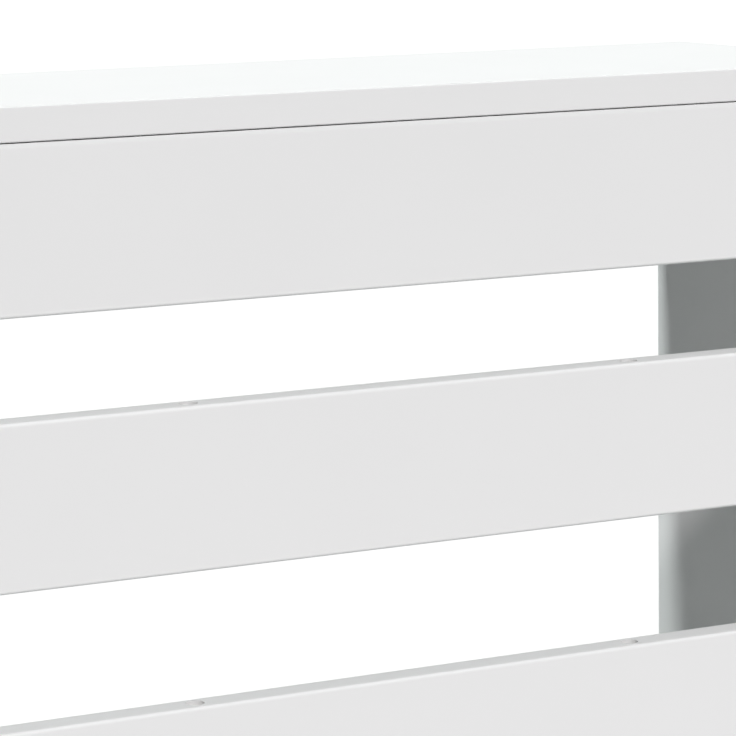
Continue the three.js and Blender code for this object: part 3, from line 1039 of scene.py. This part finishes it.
def standUnderTop(kind, node):
    at = middleOf(node)
    standFitting(kind, node, Vector((at.x, at.y, underTop)), -axisZ, "Z")


for side, sign in sides.items():
    for number in slatNumbers:
        for kind in fittings:
            node = f"{kind}_slat_{number}_{side}"
            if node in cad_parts:  # the first slat's ends have no dowel
                at = middleOf(node)
                place = Vector((innerFace(side), at.y, at.z))
                standFitting(kind, node, place, axisX * -sign, "X")
    for kind in fittings:
        standUnderTop(kind, f"{kind}_panel_{side}")
for number in topDowels:
    standUnderTop("dowel", f"dowel_top_{number}")
for fitting in fittings.values():
    bpy.data.objects.remove(fitting["master"])
print("bolts and dowels stood in their bores")


# Glides under the side panels, with their nails.

glide = {
    "height": 3.0,
    "radius": 7.0,
    # Rounding of the foot: inwards from the radius, and up from the floor
    "foot": ((2.2, 0.0), (0.9, 0.12), (0.35, 0.4), (0.0, 1.0)),
    # Rounding of the shoulder: inwards from the radius, and down from the panel's underside
    "shoulder": ((0.0, 0.5), (0.15, 0.15), (0.5, 0.0)),
    "facets": 48,
}
nail = {
    "radius": 1.0,
    "length": 14.0,
    "pointLength": 2.6,  # in radii, as the next
    "pointRadius": 0.12,
    "facets": 24,
}


def makeGlide():
    radius, height = glide["radius"], glide["height"]
    return turned("glide", [
        *[(radius - inwards, up) for inwards, up in glide["foot"]],
        *[(radius - inwards, height - down) for inwards, down in glide["shoulder"]],
    ], glide["facets"])


def makeNail():
    radius, start = nail["radius"], glide["height"]
    end = start + nail["length"]
    return turned("nail", [
        (radius, start),
        (radius, end - nail["pointLength"] * radius),
        (radius * nail["pointRadius"], end),
    ], nail["facets"])


glideMaster = makeGlide()
finishShading(glideMaster)
glideMaster.data.materials.append(glidePlastic)
nailMaster = makeNail()
finishShading(nailMaster)
nailMaster.data.materials.append(boltSteel["Z"])
for side in sides:
    for end in ("front", "back"):
        node = f"glide_{end}_{side}"
        at = middleOf(node)
        foot = Matrix.Translation((at.x, at.y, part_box(node)[0].z))
        setUp(copyTo(glideMaster, f"{node}_moulded", foot), "glide_plastic", node)
        setUp(copyTo(nailMaster, f"{node}_nail", foot), "bolt_steel", node)
bpy.data.objects.remove(glideMaster)
bpy.data.objects.remove(nailMaster)
print("glides nailed on")


# Wall brackets and their screws.

bracket = {
    "steel": 1.5,
    "bend": 1.0,  # inside radius
    "bendSegments": 10,
    "corner": 3.0,
    "cornerSegments": 8,
    "screwHole": 4.4,
    "screwSpacing": 13.0,
    "screwToEnd": 5.0,
    "slotLength": 9.0,
    "edge": 0.15,
    "edgeSegments": 2,
    "edgeAngle": 50,  # degrees; rounder corners than this stay as they are
}
screw = {
    "length": 12.5,  # under the head
    "pointLength": 3.2,
    "pointRadius": 0.1,
    "coreRadius": 1.15,
    "crestRadius": 1.75,
    "pitch": 1.5,
    "threadStart": 2.6,  # from the point
    "threadEnd": 2.2,  # from the head
    "threadSteps": 28,  # in one turn
    "headRadius": 3.6,
    # Outline of the head: inwards from its radius, and up from the bracket
    "headOutline": ((0.15, 0.0), (0.0, 0.15), (0.0, 0.75), (0.35, 1.35), (1.1, 1.95), (2.0, 2.3)),
    "cross": 4.2,
    "crossSlot": 0.9,
    "crossDepth": 1.5,
    "facets": 36,
}


def makeBracket(side, sign):
    node = f"wall_bracket_{side}"
    low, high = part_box(node)
    steel = bracket["steel"] * mm
    outer = high.x if sign > 0 else low.x  # against the side panel
    face = outer - sign * steel
    back = high.y
    legLow = Vector((min(outer, face), low.y, low.z))
    legHigh = Vector((max(outer, face), high.y, high.z))
    piece = block(legLow, legHigh)
    piece.name = f"{node}_bent"
    # The wall leg is drawn out of the panel leg's last stretch
    scoreBoard(piece, Vector((outer, back - steel, low.z)), axisY)
    startEdit(piece, "FACE")

    def lastStretch(polygon):
        centre = polygon.calc_center_median()
        return same(centre.x, face) and centre.y > back - steel

    selectWhere(piece, "faces", lastStretch)
    reach = (high.x - low.x) - steel
    bpy.ops.mesh.extrude_region_move(TRANSFORM_OT_translate={"value": (-sign * reach, 0, 0)})
    bpy.ops.mesh.select_mode(type="EDGE")

    def upright(edge, x, y):
        spot = spotOf(edge)
        return runsAlong(edge, axisZ) and same(spot.x, x) and same(spot.y, y)

    bend = bracket["bend"] * mm
    selectWhere(piece, "edges", lambda edge: upright(edge, outer, back))
    bpy.ops.mesh.bevel(offset=bend + steel, segments=bracket["bendSegments"], affect="EDGES")
    selectWhere(piece, "edges", lambda edge: upright(edge, face, back - steel))
    bpy.ops.mesh.bevel(offset=bend, segments=bracket["bendSegments"], affect="EDGES")
    farX = low.x if sign > 0 else high.x

    def legCorner(edge):
        onPanelLeg = runsAlong(edge, axisX) and same(spotOf(edge).y, low.y)
        onWallLeg = runsAlong(edge, axisY) and same(spotOf(edge).x, farX)
        return onPanelLeg or onWallLeg

    selectWhere(piece, "edges", legCorner)
    bpy.ops.mesh.bevel(offset=bracket["corner"] * mm, segments=bracket["cornerSegments"],
                       affect="EDGES")
    leaveEdit()
    middleZ = (low.z + high.z) / 2
    holes = [low.y + (bracket["screwToEnd"] + n * bracket["screwSpacing"]) * mm for n in (0, 1)]
    for holeY in holes:
        start = Vector((face - sign * steel, holeY, middleZ))
        end = Vector((outer + sign * steel, holeY, middleZ))
        combine(piece, rod(start, end, bracket["screwHole"] * mm), "DIFFERENCE")
    # Upright slot in the wall leg: a drill drawn out lengthwise
    slotX = (farX + outer - sign * (bend + steel)) / 2
    travel = (bracket["slotLength"] - bracket["screwHole"]) * mm
    bottom = middleZ - travel / 2
    slot = rod(Vector((slotX, back - 3 * steel, bottom)), Vector((slotX, back + steel, bottom)),
               bracket["screwHole"] * mm)
    startEdit(slot, "VERT")
    selectWhere(slot, "verts", lambda vert: vert.co.z > bottom + touching)
    bpy.ops.transform.translate(value=(0, 0, travel))
    leaveEdit()
    combine(piece, slot, "DIFFERENCE")
    applyModifier(piece, "BEVEL", width=bracket["edge"] * mm, segments=bracket["edgeSegments"],
                  limit_method="ANGLE", angle_limit=math.radians(bracket["edgeAngle"]))
    piece.data.materials.append(bracketSteel)
    finishShading(piece)
    setUp(piece, "bracket_steel", node)
    return [Vector((face, holeY, middleZ)) for holeY in holes]


# Pan-head chipboard screw: its head lies on the bracket at 0 and its point is below.
def makeScrew():
    head, core, length = screw["headRadius"], screw["coreRadius"], screw["length"]
    piece = turned("screw", [
        (screw["pointRadius"], -length),
        (core, screw["pointLength"] - length),
        (core, 0.0),
        *[(head - inwards, up) for inwards, up in screw["headOutline"]],
    ], screw["facets"])
    windThread(piece, screw, screw["threadStart"] - length, -screw["threadEnd"])
    headTop = screw["headOutline"][-1][1]
    cutCross(piece, screw, headTop)
    piece.data.materials.append(boltSteel["X"])
    finishShading(piece)
    return piece


screwMaster = makeScrew()
for side, sign in sides.items():
    places = makeBracket(side, sign)
    for row, place in zip(("front", "back"), places):
        matrix = turnedTo(place, axisX * -sign, axisZ)
        setUp(copyTo(screwMaster, f"bracket_screw_{row}_{side}", matrix), "bolt_steel")
bpy.data.objects.remove(screwMaster)
print("brackets bent and screwed on")


# Floor.

bpy.ops.object.select_all(action="DESELECT")
bpy.ops.mesh.primitive_plane_add(size=studio["floorSize"], location=(0, 0, 0))
floor = bpy.context.active_object
floor.name = "floor"
floor.data.materials.append(paperFloor())
floor.visible_diffuse = False  # the ambient light already holds what it would throw back
floor.visible_shadow = False  # and the front bounce comes through it
